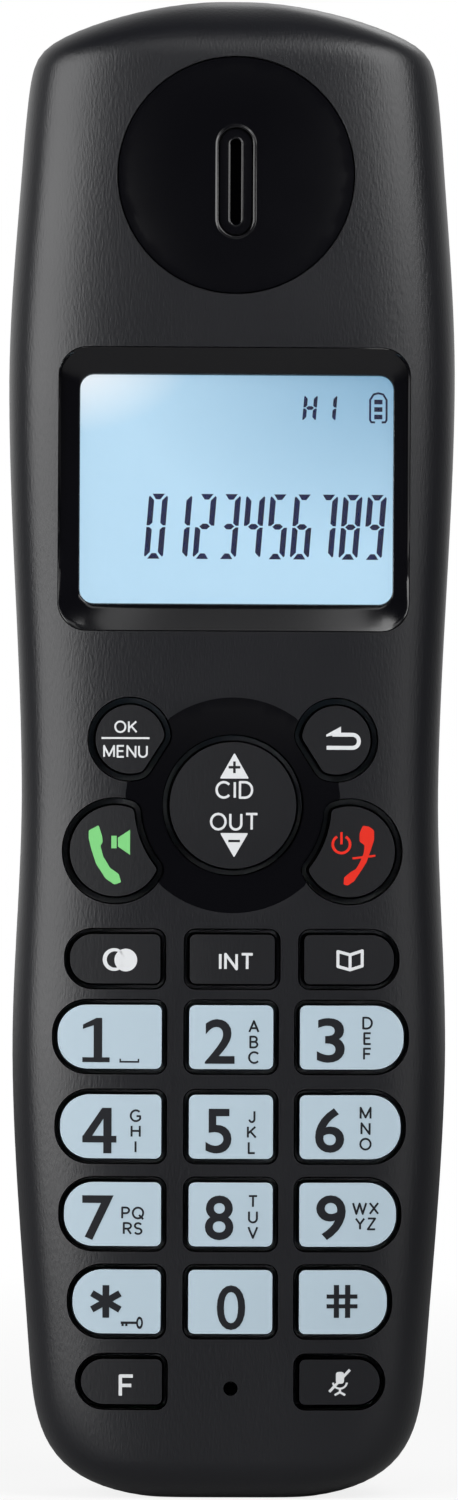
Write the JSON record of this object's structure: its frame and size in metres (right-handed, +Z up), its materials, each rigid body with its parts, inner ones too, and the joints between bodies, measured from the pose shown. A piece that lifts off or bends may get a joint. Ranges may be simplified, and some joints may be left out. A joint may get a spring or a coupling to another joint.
{
  "type": "cordless telephone handset",
  "caption": "Upright cordless telephone handset with a lit display, rocker and round call keys, a digit keypad and a pull-off battery cover.",
  "frame": {"origin": "middle of the box at the foot that the handset stands on", "axes": "+Z up along the handset from the foot to the ear end, -Y out of the face with the keys, +X to the right seen from the front"},
  "size_m": [0.0478, 0.027, 0.16],
  "materials": {
    "case_plastic": "fine matt grain",
    "gloss_black": "polished",
    "gasket_foam": "foam",
    "capsule_steel": "satin",
    "window_clear": "clear",
    "lcd_blue": "backlit display",
    "light_guide": "milky",
    "board_green": "solder mask",
    "silicone": "matt",
    "rubber_black": "matt",
    "speaker_black": "matt",
    "contact_brass": "satin",
    "cell_wrap": "printed sleeve, plain",
    "spring_steel": "nickel plated",
    "key_pale": "satin, translucent",
    "key_black": "satin"
  },
  "bodies": {
    "handset": {"front_shell": "case_plastic", "back_shell": "case_plastic", "ear_insert": "gloss_black", "receiver_gasket": "gasket_foam", "earpiece_receiver": "capsule_steel", "display_bezel": "gloss_black", "display_lens": "window_clear", "lcd_panel": "lcd_blue", "lcd_backlight": "light_guide", "lcd_frame": "light_guide", "circuit_board": "board_green", "keypad_mat": "silicone", "microphone_boot": "rubber_black", "microphone": "capsule_steel", "ringer_speaker": "speaker_black", "antenna": "contact_brass", "rf_shield": "capsule_steel", "main_chip": "speaker_black", "battery_cell_left": "cell_wrap", "battery_cell_right": "cell_wrap", "battery_springs": "spring_steel", "battery_plates": "spring_steel", "charging_contact_left": "contact_brass", "charging_contact_right": "contact_brass", "case_screws": "spring_steel", "board_screws": "spring_steel"},
    "key_menu_cap": {"key_menu": "key_black"},
    "key_back_cap": {"key_back": "key_black"},
    "key_navigate_cap": {"key_navigate": "key_black"},
    "key_talk_cap": {"key_talk": "key_black"},
    "key_end_cap": {"key_end": "key_black"},
    "key_redial_cap": {"key_redial": "key_black"},
    "key_int_cap": {"key_int": "key_black"},
    "key_phonebook_cap": {"key_phonebook": "key_black"},
    "key_1_cap": {"key_1": "key_pale"},
    "key_2_cap": {"key_2": "key_pale"},
    "key_3_cap": {"key_3": "key_pale"},
    "key_4_cap": {"key_4": "key_pale"},
    "key_5_cap": {"key_5": "key_pale"},
    "key_6_cap": {"key_6": "key_pale"},
    "key_7_cap": {"key_7": "key_pale"},
    "key_8_cap": {"key_8": "key_pale"},
    "key_9_cap": {"key_9": "key_pale"},
    "key_star_cap": {"key_star": "key_pale"},
    "key_0_cap": {"key_0": "key_pale"},
    "key_hash_cap": {"key_hash": "key_pale"},
    "key_f_cap": {"key_f": "key_black"},
    "key_mute_cap": {"key_mute": "key_black"},
    "battery_cover_panel": {"battery_cover": "case_plastic"}
  },
  "joints": [
    {"name": "key_menu_press", "type": "slide", "parent": "handset", "child": "key_menu_cap", "axis": [0, 1, 0], "range_m": [0, 0.0008], "stiffness_N_per_m": 400},
    {"name": "key_back_press", "type": "slide", "parent": "handset", "child": "key_back_cap", "axis": [0, 1, 0], "range_m": [0, 0.0008], "stiffness_N_per_m": 400},
    {"name": "key_navigate_rock", "type": "hinge", "parent": "handset", "child": "key_navigate_cap", "pos_m": [0, -0.0075, 0.074], "axis": [1, 0, 0], "range_deg": [-3, 3], "stiffness_Nm_per_rad": 0.05},
    {"name": "key_talk_press", "type": "slide", "parent": "handset", "child": "key_talk_cap", "axis": [0, 1, 0], "range_m": [0, 0.0008], "stiffness_N_per_m": 400},
    {"name": "key_end_press", "type": "slide", "parent": "handset", "child": "key_end_cap", "axis": [0, 1, 0], "range_m": [0, 0.0008], "stiffness_N_per_m": 400},
    {"name": "key_redial_press", "type": "slide", "parent": "handset", "child": "key_redial_cap", "axis": [0, 1, 0], "range_m": [0, 0.0008], "stiffness_N_per_m": 400},
    {"name": "key_int_press", "type": "slide", "parent": "handset", "child": "key_int_cap", "axis": [0, 1, 0], "range_m": [0, 0.0008], "stiffness_N_per_m": 400},
    {"name": "key_phonebook_press", "type": "slide", "parent": "handset", "child": "key_phonebook_cap", "axis": [0, 1, 0], "range_m": [0, 0.0008], "stiffness_N_per_m": 400},
    {"name": "key_1_press", "type": "slide", "parent": "handset", "child": "key_1_cap", "axis": [0, 1, 0], "range_m": [0, 0.0008], "stiffness_N_per_m": 400},
    {"name": "key_2_press", "type": "slide", "parent": "handset", "child": "key_2_cap", "axis": [0, 1, 0], "range_m": [0, 0.0008], "stiffness_N_per_m": 400},
    {"name": "key_3_press", "type": "slide", "parent": "handset", "child": "key_3_cap", "axis": [0, 1, 0], "range_m": [0, 0.0008], "stiffness_N_per_m": 400},
    {"name": "key_4_press", "type": "slide", "parent": "handset", "child": "key_4_cap", "axis": [0, 1, 0], "range_m": [0, 0.0008], "stiffness_N_per_m": 400},
    {"name": "key_5_press", "type": "slide", "parent": "handset", "child": "key_5_cap", "axis": [0, 1, 0], "range_m": [0, 0.0008], "stiffness_N_per_m": 400},
    {"name": "key_6_press", "type": "slide", "parent": "handset", "child": "key_6_cap", "axis": [0, 1, 0], "range_m": [0, 0.0008], "stiffness_N_per_m": 400},
    {"name": "key_7_press", "type": "slide", "parent": "handset", "child": "key_7_cap", "axis": [0, 1, 0], "range_m": [0, 0.0008], "stiffness_N_per_m": 400},
    {"name": "key_8_press", "type": "slide", "parent": "handset", "child": "key_8_cap", "axis": [0, 1, 0], "range_m": [0, 0.0008], "stiffness_N_per_m": 400},
    {"name": "key_9_press", "type": "slide", "parent": "handset", "child": "key_9_cap", "axis": [0, 1, 0], "range_m": [0, 0.0008], "stiffness_N_per_m": 400},
    {"name": "key_star_press", "type": "slide", "parent": "handset", "child": "key_star_cap", "axis": [0, 1, 0], "range_m": [0, 0.0008], "stiffness_N_per_m": 400},
    {"name": "key_0_press", "type": "slide", "parent": "handset", "child": "key_0_cap", "axis": [0, 1, 0], "range_m": [0, 0.0008], "stiffness_N_per_m": 400},
    {"name": "key_hash_press", "type": "slide", "parent": "handset", "child": "key_hash_cap", "axis": [0, 1, 0], "range_m": [0, 0.0008], "stiffness_N_per_m": 400},
    {"name": "key_f_press", "type": "slide", "parent": "handset", "child": "key_f_cap", "axis": [0, 1, 0], "range_m": [0, 0.0008], "stiffness_N_per_m": 400},
    {"name": "key_mute_press", "type": "slide", "parent": "handset", "child": "key_mute_cap", "axis": [0, 1, 0], "range_m": [0, 0.0008], "stiffness_N_per_m": 400},
    {"name": "battery_cover_pull", "type": "slide", "parent": "handset", "child": "battery_cover_panel", "axis": [0, 1, 0], "range_m": [0, 0.02]}
  ]
}
